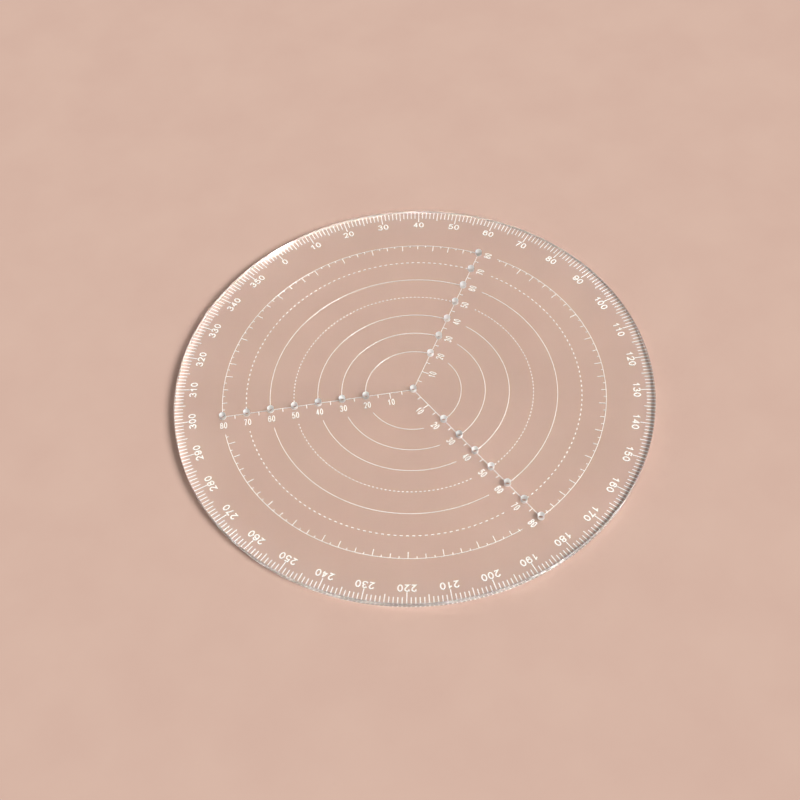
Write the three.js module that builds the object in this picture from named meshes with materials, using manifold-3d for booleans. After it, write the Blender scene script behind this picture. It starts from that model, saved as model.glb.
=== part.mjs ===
// Circle template: a clear acrylic disc with marking-out holes, and white-filled engraved marks
// in its underside. Millimetres, +Z up. The origin is the centre of the disc's underside.
// Angles are compass degrees: 0 is towards +Y and they grow clockwise, towards +X, seen from above.

import * as THREE from 'three';
import { mergeVertices } from 'three/addons/utils/BufferGeometryUtils.js';
import Module from 'manifold-3d';

// ---- driving dimensions ----

const DISC_RADIUS = 100;
const DISC_THICKNESS = 3;
const DISC_SIDES = 120;

const HOLE_RADIUS = 1.3;
const HOLE_SIDES = 16;
const RING_RADII = [20, 30, 40, 50, 60, 70, 80]; // circles, and the holes on each ruled line
const TICKED_RING = 80;

// Each ruled line leaves the centre at `angle`. `side` is +1 where its ticks point clockwise.
const RULES = [
  { angle: 60, side: 1 },
  { angle: 180, side: 1 },
  { angle: 300, side: -1 },
];
const SECTOR_SPAN = 120;

// The numbers on a ruled line stand in a gap in the circles beside it, measured along the arc.
const LABEL_GAP = 9;

const GROOVE_DEPTH = 0.4;
const FILL_HEIGHT = 0.3;
const FILL_CLEARANCE = 0.05; // fill to groove wall, floor and the disc's underside
const HOLE_LAND = 0.35; // acrylic left between a hole and the end of a mark

const LINE_WIDTH = 0.4;
const RING_CHORD_ERROR = 0.08;

const RING_TICK_STEP = 5;
const RING_TICK_WIDTH = 0.4;
const RING_TICK_SHORT = 2;
const RING_TICK_LONG = 3;
const RING_LONG_TICKS = [15, 20, 30, 40, 50, 60, 65, 75, 85, 95, 105, 110]; // from the sector's start

const RULE_TICKS = [5, 10, 15, 25, 35, 45, 55, 65, 75];
const RULE_LONG_TICK = 10;
const RULE_TICK_SHORT = 1.8;
const RULE_TICK_LONG = 3;

const SCALE_TIE_RADIUS = 99.4; // thin arc that ties a stretch of rim ticks into one body
const SCALE_TIE_WIDTH = 0.3;
const SCALE_TICK_STEP = 5;
const SCALE_TICK_WIDTH = 0.5;
const SCALE_TICK_FIVE = 95.5; // radius of the inner end of a 5 degree tick
const SCALE_TICK_TEN = 94.4;
const SCALE_STRETCH = 30;
const SCALE_STRETCH_GAP = 0.4; // degrees between two stretches

const ACRYLIC = { color: 0xe9efec, roughness: 0.06, metalness: 0, transparent: true, opacity: 0.35 };
const FILL = { color: 0xf2eee8, roughness: 0.6, metalness: 0 };

// ---- plane geometry ----

const radians = (degrees) => THREE.MathUtils.degToRad(degrees);
const degrees = (angle) => THREE.MathUtils.radToDeg(angle);

const polar = (radius, angle) =>
  new THREE.Vector2(radius * Math.sin(radians(angle)), radius * Math.cos(radians(angle)));

// Angle that half of a chord of this width spans at a radius.
const halfAngle = (radius, width) => degrees(Math.asin(width / 2 / radius));

// The angles of a facetted arc, both ends included.
function arcAngles(radius, from, to) {
  const widest = degrees(2 * Math.acos(1 - RING_CHORD_ERROR / radius));
  const steps = Math.ceil((to - from) / widest);
  return Array.from({ length: steps + 1 }, (_, i) => from + ((to - from) * i) / steps);
}

// A band along an arc, with square ticks that stand inwards from it.
// Each tick is { angle, tip, width }, where tip is the radius of its inner end.
// `grow` widens the outline all round.
function combOutline({ radius, width, from, to, ticks = [] }, grow = 0) {
  const outer = radius + width / 2 + grow;
  const inner = radius - width / 2 - grow;
  const reach = degrees(grow / radius);
  const ordered = [...ticks].sort((a, b) => a.angle - b.angle);
  const tickSpans = ordered.map((tick) => ({
    ...tick,
    base: halfAngle(inner, tick.width + 2 * grow),
    end: halfAngle(tick.tip - grow, tick.width + 2 * grow),
  }));
  const onTick = (angle) => tickSpans.some((tick) => Math.abs(angle - tick.angle) < 2 * tick.base);
  const angles = arcAngles(radius, from, to);
  const last = angles.length - 1;
  angles[0] -= reach;
  angles[last] += reach;
  const points = angles.map((angle) => polar(outer, angle));
  const innerSide = angles
    .filter((angle, i) => i === 0 || i === last || !onTick(angle))
    .map((angle) => ({ angle, points: [polar(inner, angle)] }));
  for (const tick of tickSpans) {
    innerSide.push({
      angle: tick.angle,
      points: [
        polar(inner, tick.angle + tick.base),
        polar(tick.tip - grow, tick.angle + tick.end),
        polar(tick.tip - grow, tick.angle - tick.end),
        polar(inner, tick.angle - tick.base),
      ],
    });
  }
  innerSide.sort((a, b) => b.angle - a.angle);
  return [...points, ...innerSide.flatMap((step) => step.points)];
}

// A straight line out along `angle`, with square ticks on one side of it.
function ruleOutline({ angle, side, from, to, ticks }, grow = 0) {
  const along = polar(1, angle);
  const across = polar(side, angle + 90);
  const place = (u, v) =>
    new THREE.Vector2(along.x * u + across.x * v, along.y * u + across.y * v);
  const half = LINE_WIDTH / 2 + grow;
  const points = [place(from - grow, half), place(from - grow, -half), place(to + grow, -half)];
  points.push(place(to + grow, half));
  for (const tick of [...ticks].sort((a, b) => b.at - a.at)) {
    points.push(place(tick.at + half, half), place(tick.at + half, tick.length + grow));
    points.push(place(tick.at - half, tick.length + grow), place(tick.at - half, half));
  }
  return points;
}

// ---- solids ----

function prism(outline, height, lift) {
  const geometry = new THREE.ExtrudeGeometry(new THREE.Shape(outline), {
    depth: height,
    bevelEnabled: false,
  });
  geometry.translate(0, 0, lift);
  return weld(geometry);
}

function weld(geometry) {
  geometry.deleteAttribute('normal');
  geometry.deleteAttribute('uv');
  return mergeVertices(geometry, 1e-4);
}

const wasm = await Module();
wasm.setup();

function toSolid(geometry) {
  return new wasm.Manifold(
    new wasm.Mesh({
      numProp: 3,
      vertProperties: new Float32Array(geometry.getAttribute('position').array),
      triVerts: new Uint32Array(geometry.getIndex().array),
    }),
  );
}

function toGeometry(solid) {
  const mesh = solid.getMesh();
  const geometry = new THREE.BufferGeometry();
  geometry.setAttribute('position', new THREE.BufferAttribute(mesh.vertProperties, 3));
  geometry.setIndex(new THREE.BufferAttribute(mesh.triVerts, 1));
  geometry.computeVertexNormals();
  return geometry;
}

// ---- the marks ----
// A mark is { name, outline(grow) }: its fill uses the bare outline, its groove a wider one.

const paddedAngle = (angle) => String(angle).padStart(3, '0');

// Angle that a mark on a circle keeps from a hole's centre on the same circle.
const holeAngle = (radius) => degrees((HOLE_RADIUS + HOLE_LAND) / radius);
const gapAngle = (radius) => degrees(LABEL_GAP / radius);

// A sector's arcs stop short of its ruled lines only on the side where a line has its numbers.
function sectorEnds(start, end, radius) {
  const near = start.side > 0 ? gapAngle(radius) : holeAngle(radius);
  const far = end.side < 0 ? gapAngle(radius) : holeAngle(radius);
  return { from: start.angle + near, to: start.angle + SECTOR_SPAN - far };
}

function ringTicks(start, { from, to }) {
  const ticks = [];
  for (let offset = RING_TICK_STEP; offset < SECTOR_SPAN; offset += RING_TICK_STEP) {
    const angle = start.angle + offset;
    if (angle < from + 1 || angle > to - 1) continue;
    const length = RING_LONG_TICKS.includes(offset) ? RING_TICK_LONG : RING_TICK_SHORT;
    ticks.push({ angle, tip: TICKED_RING - length, width: RING_TICK_WIDTH });
  }
  return ticks;
}

function circleMarks() {
  const marks = [];
  for (const [i, start] of RULES.entries()) {
    const end = RULES[(i + 1) % RULES.length];
    for (const radius of RING_RADII) {
      const ends = sectorEnds(start, end, radius);
      const ticks = radius === TICKED_RING ? ringTicks(start, ends) : [];
      const arc = { radius, width: LINE_WIDTH, ...ends, ticks };
      marks.push({
        name: `circle_${radius}_from_${paddedAngle(start.angle)}`,
        outline: (grow) => combOutline(arc, grow),
      });
    }
  }
  return marks;
}

function ruleMarks() {
  const marks = [];
  for (const { angle, side } of RULES) {
    const stops = [0, ...RING_RADII];
    for (let i = 0; i < RING_RADII.length; i += 1) {
      const ticks = RULE_TICKS.filter((at) => at > stops[i] && at < stops[i + 1]).map((at) => ({
        at,
        length: at === RULE_LONG_TICK ? RULE_TICK_LONG : RULE_TICK_SHORT,
      }));
      const from = stops[i] + HOLE_RADIUS + HOLE_LAND;
      const to = stops[i + 1] - HOLE_RADIUS - HOLE_LAND;
      const line = { angle, side, from, to, ticks };
      marks.push({
        name: `rule_${paddedAngle(angle)}_from_${String(stops[i]).padStart(2, '0')}`,
        outline: (grow) => ruleOutline(line, grow),
      });
    }
  }
  return marks;
}

function scaleMarks() {
  const marks = [];
  for (let start = 0; start < 360; start += SCALE_STRETCH) {
    const ticks = [];
    for (let angle = start; angle < start + SCALE_STRETCH; angle += SCALE_TICK_STEP) {
      const tip = angle % 10 === 0 ? SCALE_TICK_TEN : SCALE_TICK_FIVE;
      ticks.push({ angle, tip, width: SCALE_TICK_WIDTH });
    }
    const lead = (SCALE_TICK_STEP - SCALE_STRETCH_GAP) / 2;
    const stretch = {
      radius: SCALE_TIE_RADIUS,
      width: SCALE_TIE_WIDTH,
      from: start - lead,
      to: start + SCALE_STRETCH - SCALE_TICK_STEP + lead,
      ticks,
    };
    marks.push({
      name: `degree_scale_${paddedAngle(start)}`,
      outline: (grow) => combOutline(stretch, grow),
    });
  }
  return marks;
}

// ---- the disc ----

function roundOutline(x, y, radius, sides) {
  return Array.from({ length: sides }, (_, i) => {
    const corner = polar(radius, (360 * i) / sides);
    return new THREE.Vector2(x + corner.x, y + corner.y);
  });
}

function holeCentres() {
  const onRules = RULES.flatMap(({ angle }) => RING_RADII.map((radius) => polar(radius, angle)));
  return [new THREE.Vector2(0, 0), ...onRules];
}

// The cutting tools reach a little past the faces that they break through.
function discGeometry(marks) {
  const overshoot = 0.5;
  let disc = toSolid(prism(roundOutline(0, 0, DISC_RADIUS, DISC_SIDES), DISC_THICKNESS, 0));
  for (const { x, y } of holeCentres()) {
    const outline = roundOutline(x, y, HOLE_RADIUS, HOLE_SIDES);
    disc = disc.subtract(toSolid(prism(outline, DISC_THICKNESS + 2 * overshoot, -overshoot)));
  }
  for (const mark of marks) {
    const outline = mark.outline(FILL_CLEARANCE);
    disc = disc.subtract(toSolid(prism(outline, GROOVE_DEPTH + overshoot, -overshoot)));
  }
  return toGeometry(disc);
}

// ---- assembly ----

function mesh(name, geometry, look) {
  const piece = new THREE.Mesh(geometry, new THREE.MeshStandardMaterial(look));
  piece.name = name;
  return piece;
}

const marks = [...circleMarks(), ...ruleMarks(), ...scaleMarks()];

const group = new THREE.Group();
group.name = 'circle_template';
group.add(mesh('template_disc', discGeometry(marks), ACRYLIC));
for (const mark of marks) {
  const fill = prism(mark.outline(0), FILL_HEIGHT, FILL_CLEARANCE);
  fill.computeVertexNormals();
  group.add(mesh(mark.name, fill, FILL));
}

export default group;
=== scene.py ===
"""Circle template: a clear acrylic disc with marking-out holes and white-filled engraved marks.

Lengths here are millimetres until a mesh is finished in metres. Angles are compass degrees:
0 is towards +Y and they grow clockwise seen from above, as the disc's own scale does."""

import math

import bpy
from mathutils import Matrix, Vector


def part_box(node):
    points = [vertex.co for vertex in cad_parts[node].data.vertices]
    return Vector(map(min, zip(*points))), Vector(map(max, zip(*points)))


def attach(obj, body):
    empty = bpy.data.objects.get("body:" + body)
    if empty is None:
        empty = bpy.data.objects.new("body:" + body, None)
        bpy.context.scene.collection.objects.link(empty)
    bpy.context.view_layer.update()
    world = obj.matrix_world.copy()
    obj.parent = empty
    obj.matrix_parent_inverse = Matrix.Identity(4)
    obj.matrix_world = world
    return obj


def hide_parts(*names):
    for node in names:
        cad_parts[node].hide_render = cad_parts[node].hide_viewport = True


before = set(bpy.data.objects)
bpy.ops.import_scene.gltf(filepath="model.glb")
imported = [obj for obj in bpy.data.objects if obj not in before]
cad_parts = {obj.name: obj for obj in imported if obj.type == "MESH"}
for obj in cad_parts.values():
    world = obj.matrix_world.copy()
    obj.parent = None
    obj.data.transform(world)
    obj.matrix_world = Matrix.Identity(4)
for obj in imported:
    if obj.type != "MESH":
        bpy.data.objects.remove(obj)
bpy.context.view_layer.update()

# ---- driving dimensions ----

MM = 0.001

disc_low, disc_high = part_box("template_disc")
DISC_RADIUS = (disc_high.y - disc_low.y) / 2 / MM
THICKNESS = (disc_high.z - disc_low.z) / MM
RIM_SIDES = 720
RIM_EASE = 0.05  # radius that softens the laser-cut edge
EASE_STEPS = 3
WALL_HOLD = 0.06  # a wall's shading is kept flat by a loop this far from each rounded edge

HOLE_RADIUS = 1.3
HOLE_SIDES = 48
HOLE_EASE = 0.08
RINGS = range(20, 81, 10)  # radii of the circles, and of the holes on each ruled line
RULES = {60: 1, 180: 1, 300: -1}  # +1 where the ticks and numbers are on the clockwise side
SECTOR = 120  # degrees from one ruled line to the next

GROOVE_DEPTH = 0.35
GROOVE_DRAFT = 0.05  # how far a groove's walls lean in
FILL_RECESS = 0.03  # the fill stops short of the disc's underside
FILL_GAP = 0.015  # a groove is cut this much larger all round than its fill
CUT_PAST = 0.2  # tools run this far past the faces that they cut
MARK_LAND = 0.1  # left between a hole and the end of a mark

LINE_WIDTH = 0.33
TICK_WIDTH = 0.42
DASH_WIDTH = 0.48  # the dashed circles are cut a little bolder
CHORD = 0.8  # longest straight step along a curved mark
LABEL_GAP = 9.0  # gap in a circle beside a ruled line, for the line's numbers
DASHED = {50: 1.3, 70: 0.4}  # each dashed circle and the angle of one dash's middle
DASH_PERIOD = 2.0  # degrees
DASH_LENGTH = 1.0  # degrees
SHORTEST_DASH = DASH_LENGTH / 4  # a cut dash that is shorter is left out
TICKED_RING = 80
RING_TICK_STEP = 2.5  # degrees
RING_TICKS = {"short": 1.0, "medium": 2.0, "long": 3.0}
RING_MEDIUM_STEP = 5  # degrees
RING_LONG = (15, 20, 30, 40, 50, 60, 65, 75, 85, 95, 105, 110)  # degrees into the sector
RULE_TICKS = {10: 3.0, **{at: 1.8 for at in range(5, 76, 10)}}  # length by distance out

SCALE_WIDTH = 0.5
SCALE_TICKS = {10: 5.6, 5: 4.5, 1: 3.5}  # length of a tick by the degrees it counts
STRETCH = 30  # degrees of the scale in one piece

RIM_DIGITS = {"height": 3.2, "width": 2.3, "stroke": 0.62, "pitch": 2.65}
RULE_DIGITS = {"height": 3.25, "width": 1.4, "stroke": 0.46, "pitch": 1.62}
RIM_NUMBER_RADIUS = 92.7
RIM_NUMBER_STEP = 10  # degrees
RULE_NUMBERS = (10, *RINGS)
RULE_NUMBER_OFFSET = 4.4
TEN_OFFSET = 4.65  # the 10 stands beyond its own long tick


# ---- plane geometry ----


def polar(radius, angle):
    turn = math.radians(angle)
    return Vector((radius * math.sin(turn), radius * math.cos(turn)))


def arc_line(radius, start, end):
    steps = max(1, math.ceil(math.radians(end - start) * radius / CHORD))
    return [polar(radius, start + (end - start) * i / steps) for i in range(steps + 1)]


def sideways(direction):
    return Vector((-direction.y, direction.x))


def offsets(line, closed):
    """At each point of a line, the vector that moves it one unit to the left, mitred."""
    count = len(line)
    made = []
    for i, point in enumerate(line):
        before = line[i - 1] if closed or i > 0 else None
        after = line[(i + 1) % count] if closed or i < count - 1 else None
        arriving = (point - before).normalized() if before is not None else None
        leaving = (after - point).normalized() if after is not None else None
        first = sideways(arriving or leaving)
        second = sideways(leaving or arriving)
        made.append((first + second) / (1 + first.dot(second)))
    return made


# ---- solids, as lists of vertices and faces ----


def ribbon(line, width, spread, closed=False):
    """A closed slab along a plane line: its walls lean in towards the top, as its ends do.

    With spread 0 it is the fill of a groove. Any spread makes it the tool that cuts the groove:
    that much larger all round, and running out through the disc's underside."""
    low = FILL_RECESS if spread == 0 else -CUT_PAST
    high = GROOVE_DEPTH + spread
    wide = width / 2 + spread
    narrow = wide - GROOVE_DRAFT
    line = [Vector(point) for point in line]
    if not closed:
        line[0] -= (line[1] - line[0]).normalized() * spread
        line[-1] += (line[-1] - line[-2]).normalized() * spread
    normals = offsets(line, closed)
    count = len(line)
    verts = []
    for i, (point, normal) in enumerate(zip(line, normals)):
        inward = Vector((0, 0))
        if not closed and i == 0:
            inward = (line[1] - line[0]).normalized() * GROOVE_DRAFT
        if not closed and i == count - 1:
            inward = (line[-2] - line[-1]).normalized() * GROOVE_DRAFT
        verts += [
            (*(point - normal * wide), low),
            (*(point + normal * wide), low),
            (*(point + normal * narrow + inward), high),
            (*(point - normal * narrow + inward), high),
        ]
    faces = []
    for i in range(count if closed else count - 1):
        here = 4 * i
        there = 4 * ((i + 1) % count)
        for side in range(4):
            other = (side + 1) % 4
            faces.append((here + side, here + other, there + other, there + side))
    if not closed:
        last = 4 * (count - 1)
        faces.append((3, 2, 1, 0))
        faces.append((last, last + 1, last + 2, last + 3))
    return verts, faces


def lathe(profile, sides, centre=(0.0, 0.0)):
    """A closed solid turned about the vertical through centre. profile is (radius, z), going up."""
    verts = []
    for radius, z in profile:
        for i in range(sides):
            turn = 2 * math.pi * i / sides
            x = centre[0] + radius * math.cos(turn)
            y = centre[1] + radius * math.sin(turn)
            verts.append((x, y, z))
    faces = []
    for level in range(len(profile) - 1):
        for i in range(sides):
            j = (i + 1) % sides
            low = level * sides
            high = low + sides
            faces.append((low + i, low + j, high + j, high + i))
    top = (len(profile) - 1) * sides
    faces.append(tuple(reversed(range(sides))))
    faces.append(tuple(range(top, top + sides)))
    return verts, faces


def make_object(name, solids):
    """One object, still in millimetres, that holds all these solids."""
    verts, faces = [], []
    for more_verts, more_faces in solids:
        base = len(verts)
        verts += more_verts
        faces += [tuple(base + v for v in face) for face in more_faces]
    mesh = bpy.data.meshes.new(name)
    mesh.from_pydata([tuple(v) for v in verts], [], faces)
    made = bpy.data.objects.new(name, mesh)
    bpy.context.scene.collection.objects.link(made)
    return made


def combine(body, tool, operation):
    """Joins tool to body, or cuts it from body, and uses it up."""
    modifier = body.modifiers.new("combine", "BOOLEAN")
    modifier.operation = operation
    modifier.solver = "MANIFOLD"
    modifier.object = tool
    depsgraph = bpy.context.evaluated_depsgraph_get()
    mesh = bpy.data.meshes.new_from_object(body.evaluated_get(depsgraph))
    body.modifiers.clear()
    body.data = mesh
    bpy.data.objects.remove(tool)
    return body


def as_solid(made):
    """The vertices and faces of an object, which is used up."""
    verts = [tuple(v.co) for v in made.data.vertices]
    faces = [tuple(p.vertices) for p in made.data.polygons]
    bpy.data.objects.remove(made)
    return verts, faces


def joined(first, second):
    """Two lists of solids as one clean solid, or just the first list if the second is empty.

    The solids within a list stay clear of each other."""
    if not second:
        return first
    body = make_object("body", first)
    return [as_solid(combine(body, make_object("tool", second), "UNION"))]


# ---- digits ----

# Each digit is drawn with strokes in a unit box, which the stroke's middle line fills.
BOW_STEP = 20  # degrees of a bow in one straight step
STROKE_REACH = 0.25  # an open stroke ends this much of its width past its last point


def bow(centre, size, start, end):
    """Points along an ellipse, from start to end degrees counted anticlockwise from the right."""
    steps = max(2, round(abs(end - start) / BOW_STEP))
    turns = [math.radians(start + (end - start) * i / steps) for i in range(steps + 1)]
    return [
        (centre[0] + size[0] * math.cos(t), centre[1] + size[1] * math.sin(t)) for t in turns
    ]


def loop(centre, size):
    return bow(centre, size, 0, 360)[:-1]


def turned(strokes):
    """The same strokes, half a turn round."""
    return [([(1 - x, 1 - y) for x, y in line], closed) for line, closed in strokes]


def digit_strokes():
    """For each digit, its strokes as (points, closed)."""
    six = [
        (bow((0.5, 0.62), (0.5, 0.38), 22, 180) + [(0.0, 0.33)], False),
        (loop((0.5, 0.32), (0.5, 0.32)), True),
    ]
    return {
        "0": [(loop((0.5, 0.5), (0.5, 0.5)), True)],
        "1": [
            ([(0.62, 0.0), (0.62, 1.0)], False),
            ([(0.6, 0.92), (0.42, 0.78), (0.14, 0.68)], False),
        ],
        "2": [
            (
                bow((0.5, 0.7), (0.48, 0.3), 170, -20)
                + [(0.78, 0.42), (0.16, 0.0), (0.98, 0.0)],
                False,
            )
        ],
        "3": [
            (bow((0.48, 0.76), (0.42, 0.24), 165, -90), False),
            (bow((0.48, 0.27), (0.52, 0.27), 90, -165), False),
        ],
        "4": [
            ([(0.76, 0.0), (0.76, 1.0)], False),
            ([(0.74, 0.98), (0.08, 0.26), (1.0, 0.26)], False),
        ],
        "5": [
            ([(0.92, 1.0), (0.16, 1.0), (0.07, 0.5)], False),
            (bow((0.48, 0.33), (0.52, 0.33), 142, -162), False),
        ],
        "6": six,
        "7": [([(0.02, 1.0), (0.96, 1.0), (0.62, 0.55), (0.36, 0.0)], False)],
        "8": [
            (loop((0.5, 0.76), (0.42, 0.24)), True),
            (loop((0.5, 0.27), (0.5, 0.27)), True),
        ],
        "9": turned(six),
    }


STROKES = digit_strokes()


def digit_solid(digit, face, spread):
    """One digit about its own middle, all its strokes made one solid."""
    wide = face["width"] - face["stroke"]
    tall = face["height"] - face["stroke"]
    reach = face["stroke"] * STROKE_REACH
    solid = []
    for line, closed in STROKES[digit]:
        points = [Vector(((x - 0.5) * wide, (y - 0.5) * tall)) for x, y in line]
        if not closed:
            points[0] += (points[0] - points[1]).normalized() * reach
            points[-1] += (points[-1] - points[-2]).normalized() * reach
        solid = joined([ribbon(points, face["stroke"], spread, closed)], solid)
    return solid[0]


def placed(solid, middle, up):
    """A solid moved to middle and turned so that its own +Y points along up."""
    right = -sideways(up)
    verts = [(*(middle + right * x + up * y), z) for x, y, z in solid[0]]
    return verts, solid[1]


def number(text, middle, up, face, digits):
    """The solids of a number written about middle, with its top towards up."""
    right = -sideways(up)
    first = -(len(text) - 1) / 2 * face["pitch"]
    return [
        placed(digits[digit], middle + right * (first + i * face["pitch"]), up)
        for i, digit in enumerate(text)
    ]


# ---- the marks, each group as {piece name: solids} ----


def rule_frame(angle):
    """The directions along a ruled line and across it, towards its ticks and numbers."""
    along = polar(1, angle)
    return along, -sideways(along) * RULES[angle]


def sector_ends(radius, start):
    """Where a circle begins and ends in the sector that starts at a ruled line."""
    land = math.degrees((HOLE_RADIUS + MARK_LAND) / radius)
    gap = math.degrees(LABEL_GAP / radius)
    end = start + SECTOR
    begins = gap if RULES[start] > 0 else land
    ends = gap if RULES[end % 360] < 0 else land
    return start + begins, end - ends


def ring_tick_length(offset):
    if offset in RING_LONG:
        return RING_TICKS["long"]
    return RING_TICKS["medium" if offset % RING_MEDIUM_STEP == 0 else "short"]


def dash_spans(phase, begin, end):
    """Where each dash between begin and end starts and stops. phase is one dash's middle."""
    first = math.floor((begin - phase) / DASH_PERIOD)
    last = math.ceil((end - phase) / DASH_PERIOD)
    middles = [phase + DASH_PERIOD * i for i in range(first, last + 1)]
    spans = [(m - DASH_LENGTH / 2, m + DASH_LENGTH / 2) for m in middles]
    clipped = [(max(a, begin), min(b, end)) for a, b in spans]
    return [(a, b) for a, b in clipped if b - a > SHORTEST_DASH]


def ring_ticks(radius, start, begin, end, spread):
    """The ticks that point inwards from one arc of a circle, between begin and end."""
    made = []
    for i in range(1, int(SECTOR / RING_TICK_STEP)):
        offset = RING_TICK_STEP * i
        angle = start + offset
        if begin < angle < end:
            tip = radius - ring_tick_length(offset)
            made.append(ribbon([polar(tip, angle), polar(radius, angle)], TICK_WIDTH, spread))
    return made


def circle_marks(spread):
    made = {}
    for radius in RINGS:
        for start in RULES:
            begin, end = sector_ends(radius, start)
            spans = [(begin, end)]
            width = LINE_WIDTH
            if radius in DASHED:
                spans = dash_spans(DASHED[radius], begin, end)
                width = DASH_WIDTH
            solids = [ribbon(arc_line(radius, a, b), width, spread) for a, b in spans]
            ticks = []
            if radius == TICKED_RING:
                ticks = ring_ticks(radius, start, begin, end, spread)
            made[f"circle_{radius}_from_{start:03d}"] = joined(solids, ticks)
    return made


def rule_marks(spread):
    made = {}
    stops = [0, *RINGS]
    land = HOLE_RADIUS + MARK_LAND
    for angle in RULES:
        along, across = rule_frame(angle)
        for near, far in zip(stops, stops[1:]):
            line = [along * (near + land), along * (far - land)]
            ticks = [
                ribbon([along * at, along * at + across * length], TICK_WIDTH, spread)
                for at, length in RULE_TICKS.items()
                if near < at < far
            ]
            solids = [ribbon(line, LINE_WIDTH, spread)]
            made[f"rule_{angle:03d}_from_{near:02d}"] = joined(solids, ticks)
    return made


def scale_marks(spread):
    """The rim's ticks. Their fills stop where the edge starts to round, and tools run past it."""
    made = {}
    outer = DISC_RADIUS - RIM_EASE if spread == 0 else DISC_RADIUS + CUT_PAST
    for start in range(0, 360, STRETCH):
        solids = []
        for degree in range(start, start + STRETCH):
            step = next(s for s in SCALE_TICKS if degree % s == 0)
            inner = DISC_RADIUS - SCALE_TICKS[step]
            line = [polar(inner, degree), polar(outer, degree)]
            solids.append(ribbon(line, SCALE_WIDTH, spread))
        made[f"degree_scale_{start:03d}"] = solids
    return made


def rim_numbers(spread):
    digits = {digit: digit_solid(digit, RIM_DIGITS, spread) for digit in STROKES}
    made = {}
    for start in range(0, 360, STRETCH):
        solids = []
        for degree in range(start, start + STRETCH, RIM_NUMBER_STEP):
            up = polar(1, degree)
            middle = up * RIM_NUMBER_RADIUS
            solids += number(str(degree), middle, up, RIM_DIGITS, digits)
        made[f"degree_numbers_{start:03d}"] = solids
    return made


def rule_numbers(spread):
    digits = {digit: digit_solid(digit, RULE_DIGITS, spread) for digit in STROKES}
    made = {}
    for angle in RULES:
        along, across = rule_frame(angle)
        solids = []
        for radius in RULE_NUMBERS:
            offset = TEN_OFFSET if radius == 10 else RULE_NUMBER_OFFSET
            middle = along * radius + across * offset
            solids += number(str(radius), middle, -across, RULE_DIGITS, digits)
        made[f"rule_numbers_{angle:03d}"] = solids
    return made


def all_marks(spread):
    groups = (circle_marks, rule_marks, scale_marks, rim_numbers, rule_numbers)
    return {name: solids for group in groups for name, solids in group(spread).items()}


# ---- the disc ----


def wall_profile(radius, ease, side):
    """A wall's profile from the underside to the top face, with both its corners rounded off.

    side is -1 where the corners curve in, towards the axis, and +1 where they curve out."""
    turns = [math.pi / 2 * i / EASE_STEPS for i in range(EASE_STEPS + 1)]
    foot = [(radius + side * ease * (1 - math.sin(t)), ease * (1 - math.cos(t))) for t in turns]
    foot.append((radius, ease + WALL_HOLD))
    return foot + [(r, THICKNESS - z) for r, z in reversed(foot)]


def hole_tool(centre):
    """Cuts a hole whose two edges are rounded: the wall's profile, run out past both faces."""
    mouth = HOLE_RADIUS + HOLE_EASE
    wall = wall_profile(HOLE_RADIUS, HOLE_EASE, 1)
    profile = [(mouth, -CUT_PAST), *wall, (mouth, THICKNESS + CUT_PAST)]
    return lathe(profile, HOLE_SIDES, centre)


def hole_centres():
    return [Vector((0, 0))] + [polar(radius, angle) for radius in RINGS for angle in RULES]


def disc_solid(grooves):
    """The disc, with its holes and grooves cut."""
    wall = wall_profile(DISC_RADIUS, RIM_EASE, -1)
    disc = make_object("template_sheet", [lathe(wall, RIM_SIDES)])
    tools = [hole_tool(centre) for centre in hole_centres()]
    combine(disc, make_object("hole_tools", tools), "DIFFERENCE")
    combine(disc, make_object("groove_tools", grooves), "DIFFERENCE")
    return disc


# ---- materials ----

ACRYLIC_IOR = 1.49
FACE_TINTS = ((0.998, 1.0, 0.999), (0.984, 0.991, 0.988))
RIM_TINTS = ((0.97, 0.972, 0.965), (0.93, 0.935, 0.93))
HOLE_TINTS = ((0.97, 0.965, 0.95), (0.9, 0.895, 0.88))
PAINT_TINTS = ((0.9, 0.88, 0.85), (0.83, 0.81, 0.78))
FLOOR_TINTS = ((0.48, 0.33, 0.27), (0.465, 0.315, 0.258))
NOISE_SPAN = (0.35, 0.65)  # most of a noise's values lie between these


def new_material(name):
    """A material's node tree and its Principled shader."""
    material = bpy.data.materials.new(name)
    material.use_nodes = True
    return material, material.node_tree, material.node_tree.nodes["Principled BSDF"]


def noise(tree, scale, detail, stretch=(1, 1, 1)):
    """Noise in the piece's own coordinates.

    scale counts features per metre, and a stretch below 1 draws them out along its axis."""
    place = tree.nodes.new("ShaderNodeTexCoord")
    mapping = tree.nodes.new("ShaderNodeMapping")
    mapping.inputs["Scale"].default_value = stretch
    tree.links.new(place.outputs["Object"], mapping.inputs["Vector"])
    made = tree.nodes.new("ShaderNodeTexNoise")
    made.inputs["Scale"].default_value = scale
    made.inputs["Detail"].default_value = detail
    tree.links.new(mapping.outputs["Vector"], made.inputs["Vector"])
    return made.outputs["Fac"]


def ranged(tree, value, low, high):
    """A noise's value, spread over low to high."""
    made = tree.nodes.new("ShaderNodeMapRange")
    made.inputs["From Min"].default_value = NOISE_SPAN[0]
    made.inputs["From Max"].default_value = NOISE_SPAN[1]
    made.inputs["To Min"].default_value = low
    made.inputs["To Max"].default_value = high
    tree.links.new(value, made.inputs["Value"])
    return made.outputs["Result"]


def tinted(tree, value, first, second):
    """Two colours mixed by a noise's value."""
    made = tree.nodes.new("ShaderNodeMix")
    made.data_type = "RGBA"
    made.inputs["A"].default_value = (*first, 1)
    made.inputs["B"].default_value = (*second, 1)
    tree.links.new(ranged(tree, value, 0, 1), made.inputs["Factor"])
    return made.outputs["Result"]


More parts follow.
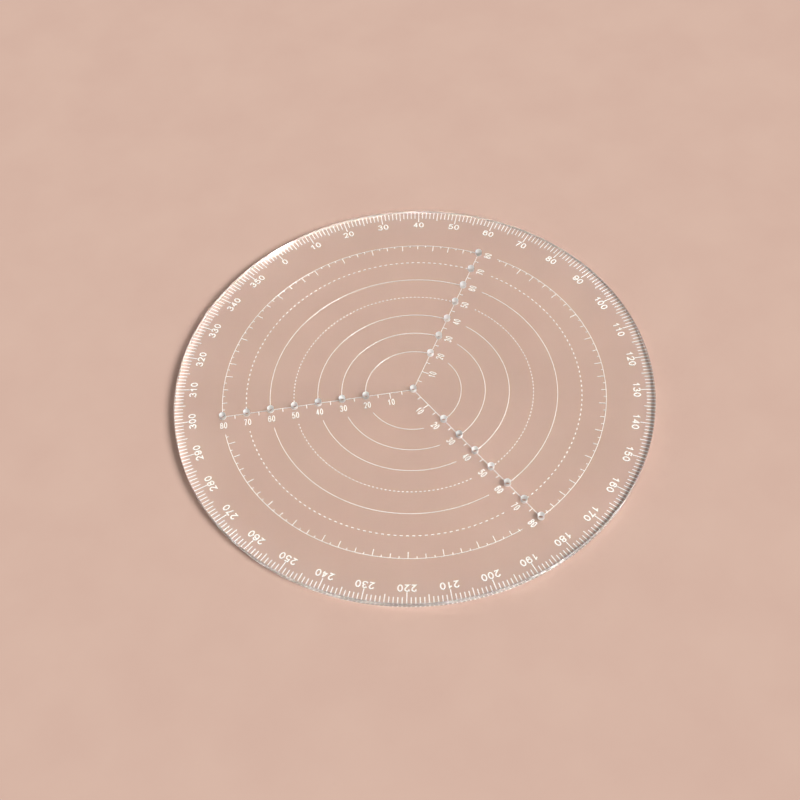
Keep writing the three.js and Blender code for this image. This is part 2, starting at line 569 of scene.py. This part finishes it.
def bumped(tree, shader, value, height):
    """Gives a shader relief that follows a noise. height is in millimetres."""
    made = tree.nodes.new("ShaderNodeBump")
    made.inputs["Strength"].default_value = 1.0
    made.inputs["Distance"].default_value = height * MM
    tree.links.new(value, made.inputs["Height"])
    tree.links.new(made.outputs["Normal"], shader.inputs["Normal"])


def acrylic_face():
    """Polished cast sheet: clear, with faint waviness and handling haze."""
    material, tree, shader = new_material("clear_acrylic_face")
    shader.inputs["Transmission Weight"].default_value = 1.0
    shader.inputs["IOR"].default_value = ACRYLIC_IOR
    haze = noise(tree, scale=40, detail=4)
    waves = noise(tree, scale=25, detail=1)
    tree.links.new(tinted(tree, haze, *FACE_TINTS), shader.inputs["Base Color"])
    tree.links.new(ranged(tree, haze, low=0.0, high=0.03), shader.inputs["Roughness"])
    bumped(tree, shader, waves, height=0.03)
    return material


def acrylic_rim():
    """Laser-cut edge: glossy, with the fine upright ripple that the beam leaves."""
    material, tree, shader = new_material("clear_acrylic_rim")
    shader.inputs["Transmission Weight"].default_value = 0.92
    shader.inputs["IOR"].default_value = ACRYLIC_IOR
    ripple = noise(tree, scale=1400, detail=2, stretch=(1, 1, 0.04))
    tree.links.new(tinted(tree, ripple, *RIM_TINTS), shader.inputs["Base Color"])
    tree.links.new(ranged(tree, ripple, low=0.05, high=0.09), shader.inputs["Roughness"])
    bumped(tree, shader, ripple, height=0.004)
    return material


def acrylic_hole():
    """Wall of a laser-cut hole: frosted, so that it glows against the clear sheet."""
    material, tree, shader = new_material("frosted_hole_wall")
    shader.inputs["Transmission Weight"].default_value = 0.25
    shader.inputs["IOR"].default_value = ACRYLIC_IOR
    frost = noise(tree, scale=5000, detail=3)
    tree.links.new(tinted(tree, frost, *HOLE_TINTS), shader.inputs["Base Color"])
    tree.links.new(ranged(tree, frost, low=0.35, high=0.55), shader.inputs["Roughness"])
    bumped(tree, shader, frost, height=0.02)
    return material


def white_fill():
    """Matt off-white paint, a little uneven in tone and grain."""
    material, tree, shader = new_material("white_fill_paint")
    tone = noise(tree, scale=150, detail=3)
    grain = noise(tree, scale=4000, detail=4)
    tree.links.new(tinted(tree, tone, *PAINT_TINTS), shader.inputs["Base Color"])
    tree.links.new(ranged(tree, grain, low=0.5, high=0.7), shader.inputs["Roughness"])
    bumped(tree, shader, grain, height=0.02)
    return material


def pale_floor():
    """Plain rosy beige, dark enough for white marks on a clear disc to show."""
    material, tree, shader = new_material("pale_floor")
    tone = noise(tree, scale=30, detail=4)
    tree.links.new(tinted(tree, tone, *FLOOR_TINTS), shader.inputs["Base Color"])
    shader.inputs["Roughness"].default_value = 0.9
    shader.inputs["Specular IOR Level"].default_value = 0.1
    return material


# ---- pieces ----

LEVEL = 0.999  # upright part of a unit normal, above which a face counts as level
DISC_SHARP = 40  # degrees between two faces, from which the edge between them stays sharp
FILL_SHARP = 25  # the same for the fills


def finish_piece(made, name, nodes):
    """Turns a piece to metres, names it, gives it its body, and hides the CAD nodes that it stands
    in for.
    """
    made.name = name
    made.data.name = name
    made.data.transform(Matrix.Scale(MM, 4))
    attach(made, "root")
    if nodes:
        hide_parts(*nodes)


def disc_material(face, holes):
    """Which of the disc's materials a face has: "face", "rim" or "hole"."""
    if abs(face.normal.z) > LEVEL:
        return "face"
    middle = face.center.xy
    if middle.length > DISC_RADIUS - RIM_EASE:
        return "rim"
    if min((middle - hole).length for hole in holes) < HOLE_RADIUS + HOLE_EASE:
        return "hole"
    return "face"


def build_disc(grooves):
    disc = disc_solid(grooves)
    mesh = disc.data
    mesh.materials.clear()
    materials = {"face": acrylic_face(), "rim": acrylic_rim(), "hole": acrylic_hole()}
    for material in materials.values():
        mesh.materials.append(material)
    mesh.set_sharp_from_angle(angle=math.radians(DISC_SHARP))
    slots = list(materials)
    holes = hole_centres()
    for face in mesh.polygons:
        face.use_smooth = abs(face.normal.z) <= LEVEL
        face.material_index = slots.index(disc_material(face, holes))
    finish_piece(disc, "acrylic_disc", ["template_disc"])


def build_fills():
    paint = white_fill()
    for name, solids in all_marks(0.0).items():
        made = make_object(name, solids)
        made.data.materials.append(paint)
        made.data.polygons.foreach_set("use_smooth", [True] * len(made.data.polygons))
        made.data.set_sharp_from_angle(angle=math.radians(FILL_SHARP))
        nodes = [name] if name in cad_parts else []
        finish_piece(made, f"fill_{name}", nodes)


def build_object():
    grooves = [solid for solids in all_marks(FILL_GAP).values() for solid in solids]
    build_disc(grooves)
    build_fills()


# ---- stage, light and camera ----

FLOOR_GAP = 0.05  # the floor lies this far below the disc
FLOOR_SIZE = 30000
KEY_LAMP = {"azimuth": 153, "elevation": 36, "spread": 26, "strength": 5.4}
FILL_LAMP = {"azimuth": 303, "elevation": 60, "spread": 30, "strength": 0.3}
ROOM_COLOUR = (1.0, 0.985, 0.965, 1)
ROOM_STRENGTH = 0.34
LIGHT_BOUNCES = 64  # light that enters at the rim crosses the disc between its two faces


def build_floor():
    verts = [
        (x * FLOOR_SIZE / 2, y * FLOOR_SIZE / 2, -FLOOR_GAP)
        for x, y in ((-1, -1), (1, -1), (1, 1), (-1, 1))
    ]
    floor = make_object("floor", [(verts, [(0, 1, 2, 3)])])
    floor.data.materials.append(pale_floor())
    floor.data.transform(Matrix.Scale(MM, 4))


def sky_direction(azimuth, elevation):
    """The unit vector towards a place in the sky."""
    flat = polar(math.cos(math.radians(elevation)), azimuth)
    return Vector((flat.x, flat.y, math.sin(math.radians(elevation))))


def add_lamp(name, azimuth, elevation, spread, strength):
    """A lamp so far off that it lights the whole floor evenly. spread is how wide it looks."""
    data = bpy.data.lights.new(name, "SUN")
    data.angle = math.radians(spread)
    data.energy = strength
    lamp = bpy.data.objects.new(name, data)
    away = sky_direction(azimuth, elevation)
    lamp.location = away
    lamp.rotation_mode = "QUATERNION"
    lamp.rotation_quaternion = away.to_track_quat("Z", "Y")
    bpy.context.scene.collection.objects.link(lamp)


def light_stage():
    add_lamp("key_light", **KEY_LAMP)
    add_lamp("fill_light", **FILL_LAMP)
    world = bpy.data.worlds.new("soft_room")
    world.use_nodes = True
    sky = world.node_tree.nodes["Background"]
    sky.inputs["Color"].default_value = ROOM_COLOUR
    sky.inputs["Strength"].default_value = ROOM_STRENGTH
    scene = bpy.context.scene
    scene.world = world
    scene.view_settings.view_transform = "Standard"
    # Both of these, left on, take strength from the light that comes through the acrylic.
    scene.cycles.blur_glossy = 0.0
    scene.cycles.sample_clamp_indirect = 0.0
    scene.cycles.max_bounces = LIGHT_BOUNCES
    scene.cycles.glossy_bounces = LIGHT_BOUNCES
    scene.cycles.transmission_bounces = LIGHT_BOUNCES


CAMERA_AZIMUTH = 214.616  # where the camera stands, as a compass angle
CAMERA_ELEVATION = 54.469
CAMERA_ROLL = -4.425
CAMERA_DISTANCE = 574.49
CAMERA_TARGET = (-6.975, 0.261, 0.0)
LENS = 61.98
SENSOR = 36.0


def add_camera():
    back = sky_direction(CAMERA_AZIMUTH, CAMERA_ELEVATION)
    level = Vector((0, 0, 1)).cross(back).normalized()
    upward = back.cross(level)
    roll = math.radians(CAMERA_ROLL)
    right = level * math.cos(roll) + upward * math.sin(roll)
    up = back.cross(right)
    data = bpy.data.cameras.new("camera")
    data.sensor_width = SENSOR
    data.lens = LENS
    camera = bpy.data.objects.new("camera", data)
    place = (Vector(CAMERA_TARGET) + back * CAMERA_DISTANCE) * MM
    camera.matrix_world = Matrix.Translation(place) @ Matrix((right, up, back)).transposed().to_4x4()
    bpy.context.scene.collection.objects.link(camera)
    bpy.context.scene.camera = camera


add_camera()
build_object()
build_floor()
light_stage()
